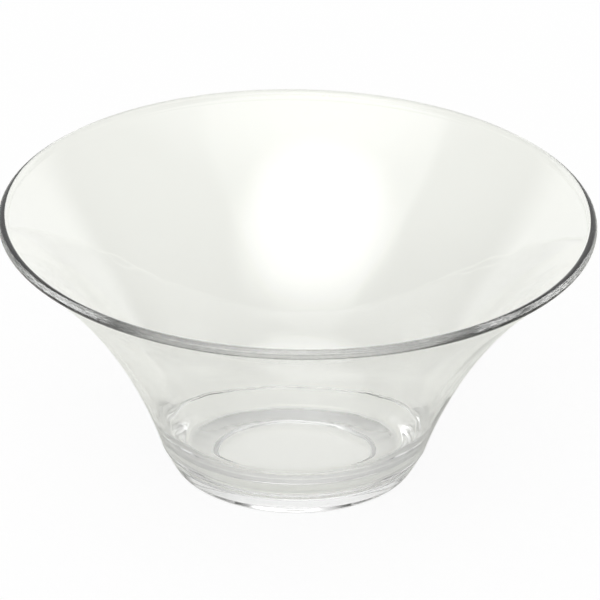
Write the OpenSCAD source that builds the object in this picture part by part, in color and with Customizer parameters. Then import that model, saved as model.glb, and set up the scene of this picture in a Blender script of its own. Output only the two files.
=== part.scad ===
// Salad bowl of clear pressed glass, made in one piece. All lengths are in millimetres.
// The bowl stands along +Z. Its origin is the centre of the face that it rests on.
// One section, drawn from straight runs and arcs in (radius, height), is turned about Z.

/* [Rim] */
// Outside diameter of the rim, the widest part of the bowl
rim_d = 260; // [230:1:300]
// Height from the table to the top of the lip
height = 120; // [105:1:140]
// Diameter of the round bead along the lip
lip_d = 4.4; // [4.2:0.1:7]
// Rounding under the bead, inside the bowl
lip_fillet_r = 1.2; // [0.5:0.1:3]

/* [Wall] */
// Radius of the outward flare, on the outside of the wall
flare_r = 230; // [190:1:400]
// Thickness of the glass at the bottom of the wall
wall_t = 3; // [2.6:0.1:7]
// Thickness of the glass at the top of the wall, just under the bead
top_t = 3.6; // [2.8:0.1:3.9]

/* [Foot] */
// Diameter of the crease where the wall meets the foot, before it is rounded
base_d = 118; // [114:1:132]
// Height of that crease above the table
foot_h = 12; // [9:0.5:18]
// Rounding of the crease
crease_r = 1.5; // [0.5:0.1:6]
// Diameter of the foot at the table, before its edge is rounded
foot_d = 105; // [96:1:108]
// Rounding of the foot's outer edge at the table
foot_edge_r = 5; // [1:0.1:8]

/* [Floor] */
// Height of the floor inside the bowl above the table
floor_t = 7; // [5.5:0.5:14]
// Rounding inside the bowl between the floor and the wall
corner_r = 40; // [16:1:46]
// Diameter of the shallow hollow under the floor, at the table
hollow_d = 74; // [50:1:80]
// Depth of the hollow
hollow_depth = 2.6; // [1:0.1:4]
// Slope of the hollow's edge from level, in degrees
hollow_slope = 45; // [30:1:70]
// Rounding of the hollow's edge, at its top and at the table
hollow_edge_r = 1; // [0.2:0.1:2]

/* [Smoothness] */
// Greatest distance between an arc and the straight steps that draw it
arc_sag = 0.01; // [0.005:0.005:0.05]

/* [Hidden] */
// Points closer than this count as one
same_point = 0.000001;
rim_r = rim_d / 2;
lip_r = lip_d / 2;
hollow_r = hollow_d / 2;
hollow_top_r = hollow_r - hollow_depth / tan(hollow_slope);

// Corners of the section before they are rounded
hollow_mid = [0, hollow_depth];
hollow_top = [hollow_top_r, hollow_depth];
hollow_edge = [hollow_r, 0];
foot_edge = [foot_d / 2, 0];
crease = [base_d / 2, foot_h];
floor_mid = [0, floor_t];

// Outside of the wall: one arc from the crease that runs smoothly into the lip
lip_centre = [rim_r - lip_r, height - lip_r];
flare_centre = meet(crease, flare_r, lip_centre, flare_r + lip_r);
crease_a = turn(flare_centre, crease);
lip_a = turn(flare_centre, lip_centre);

// Rounding of the crease that touches both the side of the foot and the flare
foot_up = (crease - foot_edge) / norm(crease - foot_edge);
foot_out = [foot_up.y, -foot_up.x];
crease_line = foot_edge + crease_r * foot_out;
to_flare = flare_centre - crease_line;
crease_reach = sqrt(pow(flare_r - crease_r, 2) - pow(to_flare * foot_out, 2));
crease_centre = crease_line + (to_flare * foot_up - crease_reach) * foot_up;

// Inside of the wall: one arc that leaves wall_t at the crease and top_t at the bead
inside_r = flare_r + (wall_t + top_t) / 2;
inside_low = polar(flare_centre, flare_r + wall_t, crease_a);
inside_high = polar(flare_centre, flare_r + top_t, lip_a);
inside_centre = meet(inside_low, inside_r, inside_high, inside_r);

// Rounding under the bead that touches both the bead and the inside of the wall
fillet_centre = meet(lip_centre, lip_r + lip_fillet_r, inside_centre, inside_r + lip_fillet_r);

// Rounding inside the bowl that touches both the floor and the wall
corner_z = floor_t + corner_r;
corner_reach = sqrt(pow(inside_r + corner_r, 2) - pow(inside_centre.y - corner_z, 2));
corner_centre = [inside_centre.x - corner_reach, corner_z];

// Point at distance r from c, in the direction a in degrees
function polar(c, r, a) = c + r * [cos(a), sin(a)];

// Direction from p to q in degrees, from 0 up to 360
function turn(p, q) = (atan2(q.y - p.y, q.x - p.x) + 360) % 360;

// Point at distance r0 from p0 and r1 from p1, to the right on the way from p0 to p1
function meet(p0, r0, p1, r1) =
    let (gap = norm(p1 - p0))
    let (ahead = (p1 - p0) / gap)
    let (along = (r0 * r0 - r1 * r1 + gap * gap) / (2 * gap))
    p0 + along * ahead + sqrt(r0 * r0 - along * along) * [ahead.y, -ahead.x];

// Points of an arc about c from direction a0 the shorter way to a1, both ends included
function arc(c, r, a0, a1) =
    let (sweep = (a1 - a0 + 540) % 360 - 180)
    let (steps = ceil(abs(sweep) / (2 * acos(1 - arc_sag / r))))
    [for (i = [0:steps]) polar(c, r, a0 + sweep * i / steps)];

// Arc of radius r that rounds the corner q between the points p and s
function rounded(p, q, s, r) =
    let (back = (p - q) / norm(p - q))
    let (ahead = (s - q) / norm(s - q))
    let (half = acos(back * ahead) / 2)
    let (c = q + (back + ahead) / norm(back + ahead) * r / sin(half))
    arc(c, r, turn(c, q + back * r / tan(half)), turn(c, q + ahead * r / tan(half)));

// Runs of points as one line, without a point that repeats the one before it
function joined(runs) =
    let (points = [for (run = runs) each run])
    [for (i = [0:len(points) - 1]) if (i == 0 || norm(points[i] - points[i - 1]) > same_point) points[i]];

// Bead of the lip, from the outside of the wall over the top to the rounding inside the bowl
function lip() = joined([
    arc(lip_centre, lip_r, lip_a - 180, lip_a - 60),
    arc(lip_centre, lip_r, lip_a - 60, turn(lip_centre, fillet_centre)),
    arc(fillet_centre, lip_fillet_r, turn(fillet_centre, lip_centre), turn(fillet_centre, inside_centre))
]);

// Half section of the glass, from the axis under the floor, out, up, in and down again
module glass_section() {
    polygon(joined([
        [hollow_mid],
        rounded(hollow_mid, hollow_top, hollow_edge, hollow_edge_r),
        rounded(hollow_top, hollow_edge, foot_edge, hollow_edge_r),
        rounded(hollow_edge, foot_edge, crease, foot_edge_r),
        arc(crease_centre, crease_r, turn(foot_out, [0, 0]), turn(flare_centre, crease_centre)),
        arc(flare_centre, flare_r, turn(flare_centre, crease_centre), lip_a),
        lip(),
        arc(inside_centre, inside_r, turn(inside_centre, fillet_centre),
            turn(inside_centre, corner_centre)),
        arc(corner_centre, corner_r, turn(corner_centre, inside_centre), -90),
        [floor_mid]
    ]));
}

// The whole bowl: rim, wall, foot and floor are one body of glass
module bowl() {
    color([0.93, 0.95, 0.93, 0.35])
        rotate_extrude($fn = 180)
            glass_section();
}

bowl();
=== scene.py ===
"""Looks of a clear pressed-glass salad bowl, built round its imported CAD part.

Lengths are in metres, in the part's own frame: +Z up, origin at the centre of the face it rests on.
"""

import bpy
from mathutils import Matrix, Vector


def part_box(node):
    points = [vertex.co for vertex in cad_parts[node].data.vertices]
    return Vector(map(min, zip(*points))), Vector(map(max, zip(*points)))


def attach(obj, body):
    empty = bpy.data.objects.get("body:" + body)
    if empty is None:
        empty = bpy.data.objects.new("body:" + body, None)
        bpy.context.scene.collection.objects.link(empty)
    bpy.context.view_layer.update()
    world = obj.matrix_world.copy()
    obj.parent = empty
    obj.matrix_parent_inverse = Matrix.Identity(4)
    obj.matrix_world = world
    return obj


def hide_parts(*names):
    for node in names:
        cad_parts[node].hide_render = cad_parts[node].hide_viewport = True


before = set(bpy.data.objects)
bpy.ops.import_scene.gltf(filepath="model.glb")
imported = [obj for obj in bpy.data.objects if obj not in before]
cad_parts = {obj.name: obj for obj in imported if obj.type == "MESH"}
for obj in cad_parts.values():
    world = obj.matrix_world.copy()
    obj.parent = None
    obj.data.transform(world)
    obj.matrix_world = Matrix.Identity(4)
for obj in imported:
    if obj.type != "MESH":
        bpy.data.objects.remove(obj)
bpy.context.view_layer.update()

import math

import bpy
import numpy as np
from bpy.props import FloatProperty, FloatVectorProperty, IntProperty, PointerProperty
from mathutils import Matrix, Vector

bl_info = {
    "name": "Glass salad bowl",
    "version": (1, 0, 0),
    "blender": (4, 5, 0),
    "location": "3D View > Sidebar > Bowl",
    "description": "Builds a flared glass salad bowl, its glass and a plain white stage",
    "category": "Add Mesh",
}

_, BOWL_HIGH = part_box("bowl")

# Steps of the mesh round the axis, and the distance between points along the section
AROUND = 300
SPACING = 0.0015
# Fewest steps of an arc, and how many times closer the points of the bead stand
LEAST_STEPS = 10
BEAD_FINENESS = 4
# Share of the spacing under which two points count as one
SAME_POINT = 0.001

# How many waves of each kind run round the bowl
WAVE_COUNTS = (2, 3, 5, 8, 13, 21, 34)
# A kind's height is divided by its count to this power
WAVE_FALL = 0.6
# Greatest lean of a wave between the table and the lip, in radians of its phase
WAVE_LEAN = 4.0
WAVE_SEED = 5
# The waves grow from none to full between these radii, these depths under the lip
# and, on the outside, these heights above the table
FLOOR_CALM = (0.012, 0.045)
LIP_CALM = (0.006, 0.025)
FOOT_CALM = (0.016, 0.040)

# Noise values between which a smudge goes from none to full, and how fine its noise is
SMUDGE_NOISE = (0.5, 0.75)
SMUDGE_DETAIL = 4.0
SMUDGE_GRAIN = 0.6
RIPPLE_DETAIL = 2.0
# Width of the cells that may hold a speck, in specks
SPECK_CELL = 12.0
# Distances from the middle of its cell, in cells, at which a speck ends and is full
SPECK_EDGE = (0.06, 0.02)
# Each cell draws a lot from 0 to 1, and has a speck only past these
SPECK_LOT = (0.985, 0.99)
# Half the width over which the wear sets in at the hollow, and the heights where it ends and is full
WEAR_FADE = 0.0005
WEAR_HEIGHT = (0.0012, 0.0003)

# Width of the camera's sensor in millimetres
SENSOR = 36.0
FLOOR_RADIUS = 6.0
FLOOR_STEPS = 96
# Gap between the floor and the bowl that stands on it
FLOOR_GAP = 0.0002
# Half the angle, in radians, over which the backdrop fades at its sides and at its top
BACKDROP_SIDE_FADE = 0.15
BACKDROP_TOP_FADE = 0.07
# Sines of the elevations between which the room overhead sets in
OVERHEAD = (0.73, 0.95)
# Share of the soft light and of the wide glow that fades towards the edge
LIGHT_EDGE = 0.12
FILL_EDGE = 1.0
# Sine of the angle to its right at which the soft light has fallen off
LIGHT_FALL_END = 0.5
# Cosines, from the middle of a patch of sky, at which it is cut off and still whole
PATCH_LIMIT = (0.0, 0.1)


def length(name, description, default):
    """A size in metres that a user can change."""
    return FloatProperty(name=name, description=description, default=default, unit="LENGTH", precision=5)


def angle(name, description, degrees):
    """An angle that a user can change, given here in degrees."""
    return FloatProperty(name=name, description=description, default=math.radians(degrees), subtype="ANGLE")


def number(name, description, default):
    """A plain number that a user can change."""
    return FloatProperty(name=name, description=description, default=default, precision=4)


def colour(name, description, default):
    """A linear colour that a user can change."""
    return FloatVectorProperty(name=name, description=description, default=default, subtype="COLOR",
                               min=0.0, max=1.0, size=3)


class BowlSizes(bpy.types.PropertyGroup):
    """Sizes of the bowl's section, the same as in the part's source."""
    rim_radius: length("Rim radius", "Outside radius of the rim", BOWL_HIGH.x)
    height: length("Height", "From the table to the top of the lip", BOWL_HIGH.z)
    lip_bead: length("Lip bead", "Diameter of the round bead along the lip", 0.0044)
    lip_fillet: length("Lip fillet", "Rounding under the bead, inside the bowl", 0.0012)
    flare_radius: length("Flare radius", "Outward curve on the outside of the wall", 0.230)
    wall_thickness: length("Wall thickness", "Glass at the bottom of the wall", 0.003)
    top_thickness: length("Top thickness", "Glass at the top of the wall, just under the bead", 0.0036)
    crease_radius: length("Crease radius", "Where the wall meets the foot", 0.059)
    foot_height: length("Foot height", "From the table up to the crease", 0.012)
    foot_radius: length("Foot radius", "Foot at the table, before its edge is rounded", 0.0525)
    foot_edge: length("Foot edge", "Rounding of the foot's outer edge", 0.005)
    crease_round: length("Crease rounding", "Rounding of the crease above the foot", 0.0015)
    floor_height: length("Floor height", "Floor inside the bowl above the table", 0.007)
    corner_radius: length("Corner radius", "Rounding inside between floor and wall", 0.040)
    hollow_radius: length("Hollow radius", "Hollow under the floor, at the table", 0.037)
    hollow_depth: length("Hollow depth", "Depth of the hollow under the floor", 0.0026)
    hollow_slope: angle("Hollow slope", "Slope of the hollow's edge from level", 45.0)
    hollow_edge: length("Hollow edge", "Rounding of the hollow's edge", 0.001)


class GlassLook(bpy.types.PropertyGroup):
    """How clear, how tinted and how even the glass is."""
    tint: colour("Tint", "Colour that thick glass takes on", (0.785, 0.79, 0.782))
    tint_density: number("Tint density", "Absorption per metre of glass", 5.0)
    ior: number("Refractive index", "Soda-lime glass is about 1.52", 1.52)
    wave: length("Wave", "Height of the soft waves left by the press", 0.0001)
    smudge: number("Smudge", "Greatest roughness of the faint smudges on the glass", 0.03)
    smudge_size: length("Smudge size", "Width of a smudge", 0.03)
    ripple: length("Ripple", "Height of the fine ripple in the skin of the glass", 0.00001)
    ripple_size: length("Ripple size", "Width of the fine ripple", 0.012)
    speck: length("Speck", "Width of the few specks of dust", 0.0012)
    wear: number("Wear", "Roughness of the worn ring that the bowl stands on", 0.35)


class StageLook(bpy.types.PropertyGroup):
    """Camera, floor and light."""
    camera_distance: length("Camera distance", "From the aim point to the camera", 2.6)
    camera_elevation: angle("Camera elevation", "Height of the view above level", 27.0)
    camera_roll: angle("Camera roll", "Turn of the camera about its own line of sight", 1.0)
    aim_side: length("Aim side", "Aim point to the right of the axis", 0.0016)
    aim_height: length("Aim height", "Aim point above the table", 0.07821)
    lens: number("Lens", "Focal length in millimetres on a 36 mm sensor", 357.0)
    white: colour("White", "Floor and background as the camera sees them", (1.0, 1.0, 1.0))
    table: colour("Table", "The same floor as the glass shows it", (0.977, 0.987, 0.933))
    shade: number("Shade", "Share of the floor that takes light and shadow, as the camera sees it", 0.08)
    table_shade: number("Table shade", "The same share as the glass shows it", 0.45)
    room: number("Room", "Brightness of the dim room at the sides", 0.05)
    ceiling: number("Ceiling", "Brightness of the room overhead", 0.9)
    backdrop: number("Backdrop", "Brightness of the pale backdrop behind the bowl", 0.95)
    backdrop_azimuth: angle("Backdrop azimuth", "Middle of the backdrop, to the right of the camera", 180.0)
    backdrop_spread: angle("Backdrop spread", "Half the angle that the backdrop takes up", 52.0)
    backdrop_top: angle("Backdrop top", "Upper edge of the backdrop above level", 42.0)
    light: number("Light", "Brightness of the round soft light over the camera", 0.7)
    light_azimuth: angle("Light azimuth", "Soft light, to the right of the camera", -15.0)
    light_elevation: angle("Light elevation", "Middle of the soft light above level", 56.0)
    light_spread: angle("Light spread", "Half the angle that the soft light takes up", 41.0)
    light_fall: number("Light fall", "How much the soft light falls off towards its far side", 0.5)
    fill: number("Fill", "Brightness of the wide glow round the soft light", 0.28)
    fill_spread: angle("Fill spread", "Half the angle that the wide glow takes up", 82.0)
    heart: number("Heart", "Extra brightness of the soft light's heart", 2.3)
    heart_azimuth: angle("Heart azimuth", "Heart of the soft light, to the right of the camera", -10.0)
    heart_elevation: angle("Heart elevation", "Heart of the soft light above level", 43.0)
    heart_width: angle("Heart width", "Half the angle that the heart takes up from side to side", 50.0)
    heart_height: angle("Heart height", "Half the angle that the heart takes up from top to bottom", 23.0)
    heart_edge: number("Heart edge", "Share of the heart that fades", 0.55)
    bounces: IntProperty(name="Bounces", description="How often light may turn inside the glass", default=32)


class Socket:
    """A node's output that takes part in Python expressions; each operator adds one Math node."""

    def __init__(self, tree, output):
        self.tree = tree
        self.output = output

    def math(self, operation, *values):
        """One Math node on values or sockets."""
        return add_node(self.tree, "ShaderNodeMath", {"operation": operation}, values)

    def root(self):
        """The square root."""
        return self.math("SQRT", self)

    def __add__(self, other):
        return self.math("ADD", self, other)

    def __radd__(self, other):
        return self.math("ADD", other, self)

    def __sub__(self, other):
        return self.math("SUBTRACT", self, other)

    def __rsub__(self, other):
        return self.math("SUBTRACT", other, self)

    def __mul__(self, other):
        return self.math("MULTIPLY", self, other)

    def __rmul__(self, other):
        return self.math("MULTIPLY", other, self)

    def __truediv__(self, other):
        return self.math("DIVIDE", self, other)

    def __rtruediv__(self, other):
        return self.math("DIVIDE", other, self)


def add_node(tree, kind, settings=None, inputs=None, output=0):
    """Adds one node: its settings first, then a value or a link on each named or numbered socket."""
    node = tree.nodes.new(kind)
    for name, value in (settings or {}).items():
        setattr(node, name, value)
    pairs = inputs.items() if isinstance(inputs, dict) else enumerate(inputs or [])
    for key, value in pairs:
        if isinstance(value, Socket):
            tree.links.new(value.output, node.inputs[key])
        else:
            node.inputs[key].default_value = value
    return Socket(tree, node.outputs[output]) if node.outputs else None


def empty_tree(owner):
    """The node tree of a material or a world, with no nodes in it yet."""
    owner.use_nodes = True
    owner.node_tree.nodes.clear()
    return owner.node_tree


def between(value, low, high):
    """0 at low and below, 1 at high and past it, and a smooth step from one to the other."""
    return add_node(value.tree, "ShaderNodeMapRange", {"interpolation_type": "SMOOTHSTEP"},
                    {"Value": value, "From Min": low, "From Max": high})


def split(vector):
    """A vector's x, y and z, and its reach from the Z axis, the root of x x + y y."""
    x, y, z = (
        add_node(vector.tree, "ShaderNodeSeparateXYZ", {}, [vector], output=axis) for axis in range(3)
    )
    return x, y, z, (x * x + y * y).root()


def along(vector, way):
    """How far a vector reaches along a fixed way: their dot product."""
    return add_node(vector.tree, "ShaderNodeVectorMath", {"operation": "DOT_PRODUCT"}, [vector, way],
                    output="Value")


def sky_patch(direction, azimuth, elevation, width, height, edge):
    """A round patch of sky, and how far to its right a direction lies.

    The patch is 1 in its middle and 0 past its width and height, with a soft edge of a given share.
    """
    middle = Vector((
        math.sin(azimuth) * math.cos(elevation),
        -math.cos(azimuth) * math.cos(elevation),
        math.sin(elevation),
    ))
    right = Vector((math.cos(azimuth), math.sin(azimuth), 0.0))
    ahead, aside, above = (along(direction, way) for way in (middle, right, middle.cross(right)))
    wide = aside / math.sin(width)
    tall = above / math.sin(height)
    away = (wide * wide + tall * tall).root()
    return between(away, 1.0, 1.0 - edge) * between(ahead, *PATCH_LIMIT), aside


def polar(centre, radius, angles):
    """Points at one radius and many angles about a centre: centre + radius (cos a, sin a)."""
    return np.asarray(centre) + radius * np.stack([np.cos(angles), np.sin(angles)], axis=-1)


def turn(start, end):
    """Direction from one point to another, from 0 up to a full turn."""
    return math.atan2(end[1] - start[1], end[0] - start[0]) % math.tau


def meet(p0, r0, p1, r1):
    """Where circles about p0 and p1 cross, on the right of the way from p0 to p1."""
    gap = math.dist(p0, p1)
    ahead = (np.asarray(p1) - p0) / gap
    along_gap = (r0 ** 2 - r1 ** 2 + gap ** 2) / (2 * gap)
    return p0 + along_gap * ahead + math.sqrt(r0 ** 2 - along_gap ** 2) * np.array([ahead[1], -ahead[0]])


def arc(centre, radius, a0, a1, spacing):
    """Points along an arc from angle a0 the shorter way to a1, at most one spacing apart."""
    sweep = (a1 - a0 + 3 * math.pi) % math.tau - math.pi
    steps = max(LEAST_STEPS, math.ceil(radius * abs(sweep) / spacing))
    return polar(centre, radius, a0 + sweep * np.linspace(0.0, 1.0, steps + 1))


def rounded(before, corner, after, radius, spacing):
    """The arc of one radius that touches both straight sides of a corner."""
    back = (before - corner) / math.dist(before, corner)
    ahead = (after - corner) / math.dist(after, corner)
    half = math.acos(back @ ahead) / 2
    middle = (back + ahead) / np.linalg.norm(back + ahead)
    centre = corner + middle * radius / math.sin(half)
    reach = radius / math.tan(half)
    a0 = turn(centre, corner + back * reach)
    a1 = turn(centre, corner + ahead * reach)
    return arc(centre, radius, a0, a1, spacing)


def straight(start, end, spacing):
    """Points along a straight run, at most one spacing apart, with its ends left out."""
    steps = max(2, math.ceil(math.dist(start, end) / spacing))
    share = np.linspace(0.0, 1.0, steps + 1)[1:-1, None]
    return start + share * (end - start)


def glass_section(s, spacing):
    """Half section of the glass as (radius, height) points from the axis below to the axis above.

    Arcs joined by straight runs: hollow, foot ring, foot, flare, bead, inside wall, corner, floor.
    """
    # Outside of the wall: one arc from the crease that runs smoothly into the lip
    lip = s.lip_bead / 2
    crease = np.array([s.crease_radius, s.foot_height])
    lip_centre = np.array([s.rim_radius - lip, s.height - lip])
    flare_centre = meet(crease, s.flare_radius, lip_centre, s.flare_radius + lip)
    crease_a = turn(flare_centre, crease)
    lip_a = turn(flare_centre, lip_centre)

    # Inside of the wall, and the roundings that touch it under the bead and above the floor
    inside_r = s.flare_radius + (s.wall_thickness + s.top_thickness) / 2
    inside_low = polar(flare_centre, s.flare_radius + s.wall_thickness, crease_a)
    inside_high = polar(flare_centre, s.flare_radius + s.top_thickness, lip_a)
    inside_centre = meet(inside_low, inside_r, inside_high, inside_r)
    fillet_centre = meet(lip_centre, lip + s.lip_fillet, inside_centre, inside_r + s.lip_fillet)
    corner_z = s.floor_height + s.corner_radius
    corner_reach = math.sqrt((inside_r + s.corner_radius) ** 2 - (inside_centre[1] - corner_z) ** 2)
    corner_centre = np.array([inside_centre[0] - corner_reach, corner_z])

    # Corners of the hollow and the foot, before they are rounded
    hollow_mid = np.array([0.0, s.hollow_depth])
    hollow_top = np.array([s.hollow_radius - s.hollow_depth / math.tan(s.hollow_slope), s.hollow_depth])
    hollow_low = np.array([s.hollow_radius, 0.0])
    foot_edge = np.array([s.foot_radius, 0.0])

    # Rounding of the crease that touches both the side of the foot and the flare
    foot_up = (crease - foot_edge) / math.dist(crease, foot_edge)
    foot_out = np.array([foot_up[1], -foot_up[0]])
    crease_line = foot_edge + s.crease_round * foot_out
    to_flare = flare_centre - crease_line
    crease_reach = math.sqrt((s.flare_radius - s.crease_round) ** 2 - (to_flare @ foot_out) ** 2)
    crease_centre = crease_line + (to_flare @ foot_up - crease_reach) * foot_up
    flare_a = turn(flare_centre, crease_centre)

    # The bead is more than half a circle, so two arcs draw it
    bead_a = lip_a - math.pi / 3
    bead_spacing = spacing / BEAD_FINENESS
    runs = [
        hollow_mid[None],
        rounded(hollow_mid, hollow_top, hollow_low, s.hollow_edge, spacing),
        rounded(hollow_top, hollow_low, foot_edge, s.hollow_edge, spacing),
        rounded(hollow_low, foot_edge, crease, s.foot_edge, spacing),
        arc(crease_centre, s.crease_round, turn(foot_out, (0.0, 0.0)), flare_a, spacing),
        arc(flare_centre, s.flare_radius, flare_a, lip_a, spacing),
        arc(lip_centre, lip, lip_a - math.pi, bead_a, bead_spacing),
        arc(lip_centre, lip, bead_a, turn(lip_centre, fillet_centre), bead_spacing),
        arc(fillet_centre, s.lip_fillet, turn(fillet_centre, lip_centre),
            turn(fillet_centre, inside_centre), spacing),
        arc(inside_centre, inside_r, turn(inside_centre, fillet_centre),
            turn(inside_centre, corner_centre), spacing),
        arc(corner_centre, s.corner_radius, turn(corner_centre, inside_centre), -math.pi / 2, spacing),
        np.array([[0.0, s.floor_height]]),
    ]
    line = [runs[0]]
    for run in runs[1:]:
        end = line[-1][-1]
        gap = math.dist(end, run[0])
        if gap > spacing:
            line.append(straight(end, run[0], spacing))
        line.append(run[1:] if gap < spacing * SAME_POINT else run)
    return np.concatenate(line)


def rise(value, low, high):
    """0 at low and below, 1 at high and past it, and a smooth step from one to the other."""
    share = np.clip((value - low) / (high - low), 0.0, 1.0)
    return share * share * (3.0 - 2.0 * share)


def press_waves(section, u, wave):
    """How far the pressed glass stands proud of its section at each point and each angle u.

    A sum of cosines round the bowl, wave / k^fall cos(k u + start + lean z / top) for a few counts k.
    It differs inside and outside, and fades out at the lip, at the foot and in the middle of the floor.
    """
    r, z = section.T
    top = z.max()
    inside = np.arange(len(z)) > z.argmax()
    side = inside.astype(int)
    calm = rise(r, *FLOOR_CALM) * rise(top - z, *LIP_CALM)
    calm = np.where(inside, calm, calm * rise(z, *FOOT_CALM))
    random = np.random.default_rng(WAVE_SEED)
    height = np.zeros((len(z), len(u)))
    for count in WAVE_COUNTS:
        start = random.uniform(0.0, math.tau, 2)
        lean = random.uniform(-WAVE_LEAN, WAVE_LEAN, 2)
        phase = start[side] + lean[side] * z / top
        height += np.cos(count * u + phase[:, None]) / count ** WAVE_FALL
    return wave * calm[:, None] * height


def turned_mesh(name, section, around, wave):
    """A section turned about Z and moved along its normal n by the waves w, with one point at each pole.

    x = (r + n_r w) cos u, y = (r + n_r w) sin u, z = z(v) + n_z w.
    """
    u = np.arange(around) * (math.tau / around)
    ahead = np.gradient(section, axis=0)
    normal = np.stack([ahead[:, 1], -ahead[:, 0]], axis=-1) / np.linalg.norm(ahead, axis=1)[:, None]
    proud = press_waves(section, u, wave)[1:-1]
    rings, normal = section[1:-1], normal[1:-1]
    radius = rings[:, 0, None] + normal[:, 0, None] * proud
    x = radius * np.cos(u)
    y = radius * np.sin(u)
    z = rings[:, 1, None] + normal[:, 1, None] * proud
    points = np.concatenate([
        np.stack([x, y, z], axis=-1).reshape(-1, 3),
        [[0.0, 0.0, section[0, 1]], [0.0, 0.0, section[-1, 1]]],
    ])
    count = len(rings)
    index = np.arange(count * around).reshape(count, around)
    beside = np.roll(index, -1, axis=1)
    quads = np.stack([index[:-1], beside[:-1], beside[1:], index[1:]], axis=-1).reshape(-1, 4)
    low_pole, high_pole = count * around, count * around + 1
    low = np.stack([np.full(around, low_pole), beside[0], index[0]], axis=-1)
    high = np.stack([np.full(around, high_pole), index[-1], beside[-1]], axis=-1)
    mesh = bpy.data.meshes.new(name)
    mesh.from_pydata(points, [], [*quads.tolist(), *low.tolist(), *high.tolist()])
    mesh.shade_smooth()
    mesh.update()
    return mesh


def clear_glass(look, hollow_radius):
    """Clear glass: light passes and bends, and long paths through it pick up a faint grey-green.

    Its skin has a fine ripple, faint smudges, a few dark specks and a worn ring round the hollow.
    """
    material = bpy.data.materials.new("clear_glass")
    tree = empty_tree(material)
    place = add_node(tree, "ShaderNodeTexCoord", output="Object")
    cloud = add_node(tree, "ShaderNodeTexNoise", {}, {
        "Vector": place,
        "Scale": 1.0 / look.smudge_size,
        "Detail": SMUDGE_DETAIL,
        "Roughness": SMUDGE_GRAIN,
    })
    smudged = between(cloud, *SMUDGE_NOISE)
    _, _, height, radius = split(place)
    ring = between(radius, hollow_radius - WEAR_FADE, hollow_radius + WEAR_FADE)
    worn = ring * between(height, *WEAR_HEIGHT)
    skin = add_node(tree, "ShaderNodeTexNoise", {}, {
        "Vector": place,
        "Scale": 1.0 / look.ripple_size,
        "Detail": RIPPLE_DETAIL,
    })
    normal = add_node(tree, "ShaderNodeBump", {}, {"Strength": 1.0, "Distance": look.ripple, "Height": skin})
    cell = {"Vector": place, "Scale": 1.0 / (SPECK_CELL * look.speck)}
    away = add_node(tree, "ShaderNodeTexVoronoi", {}, cell)
    middle = add_node(tree, "ShaderNodeTexVoronoi", {}, cell, output="Position")
    lot = add_node(tree, "ShaderNodeTexWhiteNoise", {}, {"Vector": middle})
    clean = 1.0 - between(away, *SPECK_EDGE) * between(lot, *SPECK_LOT)
    surface = add_node(tree, "ShaderNodeBsdfPrincipled", {}, {
        "Base Color": add_node(tree, "ShaderNodeCombineColor", {}, [clean, clean, clean]),
        "Roughness": smudged * look.smudge + worn * look.wear,
        "IOR": look.ior,
        "Transmission Weight": 1.0,
        "Normal": normal,
    })
    depth = add_node(tree, "ShaderNodeVolumeAbsorption", {}, {
        "Color": (*look.tint, 1.0),
        "Density": look.tint_density,
    })
    add_node(tree, "ShaderNodeOutputMaterial", {}, {"Surface": surface, "Volume": depth})
    return material


def floor_white(look):
    """Pale floor: plain white to the camera, off-white through the glass, with a share that takes shadow."""
    material = bpy.data.materials.new("floor_white")
    tree = empty_tree(material)
    direct = add_node(tree, "ShaderNodeLightPath", output="Is Camera Ray")
    through = add_node(tree, "ShaderNodeLightPath", output="Is Transmission Ray")
    plainness = direct * (1.0 - look.shade) + (1.0 - direct) * through * (1.0 - look.table_shade)
    tone = add_node(tree, "ShaderNodeMix", {"data_type": "RGBA"},
                    {"Factor": direct, "A": (*look.table, 1.0), "B": (*look.white, 1.0)}, output="Result")
    paint = add_node(tree, "ShaderNodeBsdfDiffuse", {}, {"Color": tone})
    plain = add_node(tree, "ShaderNodeEmission", {}, {"Color": tone, "Strength": 1.0})
    mix = add_node(tree, "ShaderNodeMixShader", {}, [plainness, paint, plain])
    add_node(tree, "ShaderNodeOutputMaterial", {}, {"Surface": mix})
    return material


def pale_floor(look):
    """A flat round floor just under the bowl: x = R cos u, y = R sin u, z = -gap."""
    u = np.linspace(0.0, math.tau, FLOOR_STEPS, endpoint=False)
    x = FLOOR_RADIUS * np.cos(u)
    y = FLOOR_RADIUS * np.sin(u)
    points = np.stack([x, y, np.full_like(u, -FLOOR_GAP)], axis=-1)
    mesh = bpy.data.meshes.new("floor")
    mesh.from_pydata(points, [], [list(range(len(u)))])
    mesh.update()
    mesh.materials.append(floor_white(look))
    return bpy.data.objects.new("floor", mesh)


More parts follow.
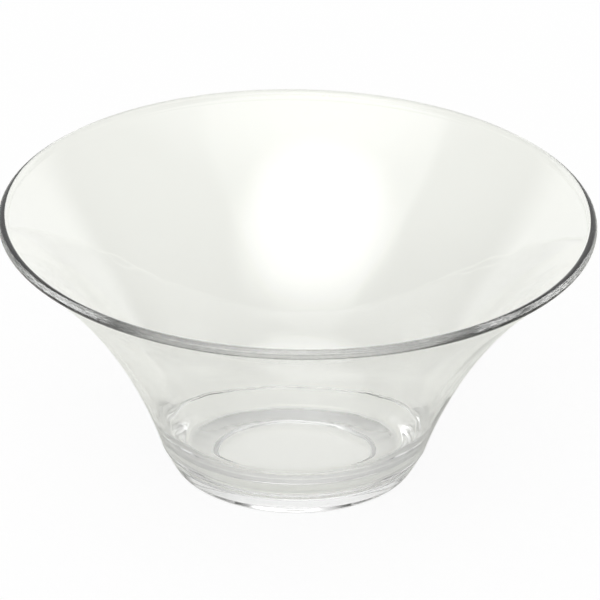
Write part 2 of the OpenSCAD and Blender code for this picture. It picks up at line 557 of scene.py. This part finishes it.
def white_room(look):
    """The world: white to the camera, and to the glass a dim room with a backdrop and a soft light."""
    world = bpy.data.worlds.new("white_room")
    tree = empty_tree(world)
    direct = add_node(tree, "ShaderNodeLightPath", output="Is Camera Ray")
    direction = add_node(tree, "ShaderNodeTexCoord")
    x, y, z, level = split(direction)
    behind = (x * math.sin(look.backdrop_azimuth) - y * math.cos(look.backdrop_azimuth)) / level
    side, top = look.backdrop_spread, look.backdrop_top
    backdrop = (
        between(behind, math.cos(side + BACKDROP_SIDE_FADE), math.cos(side - BACKDROP_SIDE_FADE))
        * between(z, math.sin(top + BACKDROP_TOP_FADE), math.sin(top - BACKDROP_TOP_FADE))
    )
    soft, aside = sky_patch(direction, look.light_azimuth, look.light_elevation,
                            look.light_spread, look.light_spread, LIGHT_EDGE)
    soft = soft * (1.0 - look.light_fall * between(aside, 0.0, LIGHT_FALL_END))
    fill, _ = sky_patch(direction, look.light_azimuth, look.light_elevation,
                        look.fill_spread, look.fill_spread, FILL_EDGE)
    heart, _ = sky_patch(direction, look.heart_azimuth, look.heart_elevation,
                         look.heart_width, look.heart_height, look.heart_edge)
    glow = (
        look.room
        + between(z, *OVERHEAD) * (look.ceiling - look.room)
        + backdrop * (look.backdrop - look.room)
        + soft * look.light
        + fill * look.fill
        + heart * look.heart
    )
    strength = direct + (1.0 - direct) * glow
    light = add_node(tree, "ShaderNodeBackground", {}, {"Color": (*look.white, 1.0), "Strength": strength})
    add_node(tree, "ShaderNodeOutputWorld", {}, {"Surface": light})
    return world


def photo_view(look):
    """The camera, at its distance and elevation from the aim point and turned about its line of sight."""
    data = bpy.data.cameras.new("photo_view")
    data.lens = look.lens
    data.sensor_width = SENSOR
    back = Vector((0.0, -math.cos(look.camera_elevation), math.sin(look.camera_elevation)))
    aim = Vector((look.aim_side, 0.0, look.aim_height))
    rotation = back.to_track_quat("Z", "Y").to_matrix() @ Matrix.Rotation(look.camera_roll, 3, "Z")
    camera = bpy.data.objects.new("photo_view", data)
    camera.matrix_world = Matrix.Translation(aim + back * look.camera_distance) @ rotation.to_4x4()
    return camera


class BOWL_OT_glass_bowl(bpy.types.Operator):
    """Builds the bowl as one body of clear glass"""
    bl_idname = "bowl.glass_bowl"
    bl_label = "Glass bowl"

    def execute(self, context):
        sizes, look = context.scene.bowl_sizes, context.scene.glass_look
        mesh = turned_mesh("glass_bowl", glass_section(sizes, SPACING), AROUND, look.wave)
        mesh.materials.append(clear_glass(look, sizes.hollow_radius))
        bowl = bpy.data.objects.new("glass_bowl", mesh)
        context.scene.collection.objects.link(bowl)
        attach(bowl, "root")
        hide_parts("bowl")
        return {"FINISHED"}


class BOWL_OT_stage(bpy.types.Operator):
    """Sets up the camera, the white floor and the studio light"""
    bl_idname = "bowl.stage"
    bl_label = "White stage"

    def execute(self, context):
        scene, look = context.scene, context.scene.stage_look
        floor = pale_floor(look)
        scene.collection.objects.link(floor)
        scene.world = white_room(look)
        camera = photo_view(look)
        scene.collection.objects.link(camera)
        scene.camera = camera
        scene.view_settings.view_transform = "Standard"
        scene.cycles.max_bounces = look.bounces
        scene.cycles.glossy_bounces = look.bounces
        scene.cycles.transmission_bounces = look.bounces
        return {"FINISHED"}


class BOWL_PT_panel(bpy.types.Panel):
    """Sizes, glass and stage of the salad bowl"""
    bl_idname = "BOWL_PT_panel"
    bl_label = "Glass salad bowl"
    bl_space_type = "VIEW_3D"
    bl_region_type = "UI"
    bl_category = "Bowl"

    def draw(self, context):
        for group, operator in GROUPS:
            settings = getattr(context.scene, group)
            for name in settings.__annotations__:
                self.layout.prop(settings, name)
            if operator:
                self.layout.operator(operator)


# Each group of settings, with the operator that its button runs
GROUPS = (
    ("bowl_sizes", None),
    ("glass_look", BOWL_OT_glass_bowl.bl_idname),
    ("stage_look", BOWL_OT_stage.bl_idname),
)
CLASSES = (BowlSizes, GlassLook, StageLook, BOWL_OT_glass_bowl, BOWL_OT_stage, BOWL_PT_panel)


def register():
    """Registers the classes and hangs the settings on the scene."""
    for cls in CLASSES:
        bpy.utils.register_class(cls)
    bpy.types.Scene.bowl_sizes = PointerProperty(type=BowlSizes)
    bpy.types.Scene.glass_look = PointerProperty(type=GlassLook)
    bpy.types.Scene.stage_look = PointerProperty(type=StageLook)


def unregister():
    """Takes back what register did."""
    for name, _ in GROUPS:
        delattr(bpy.types.Scene, name)
    for cls in reversed(CLASSES):
        bpy.utils.unregister_class(cls)


def main():
    """Builds the stage and the bowl."""
    register()
    bpy.ops.bowl.stage()
    bpy.ops.bowl.glass_bowl()


if __name__ == "__main__":
    main()
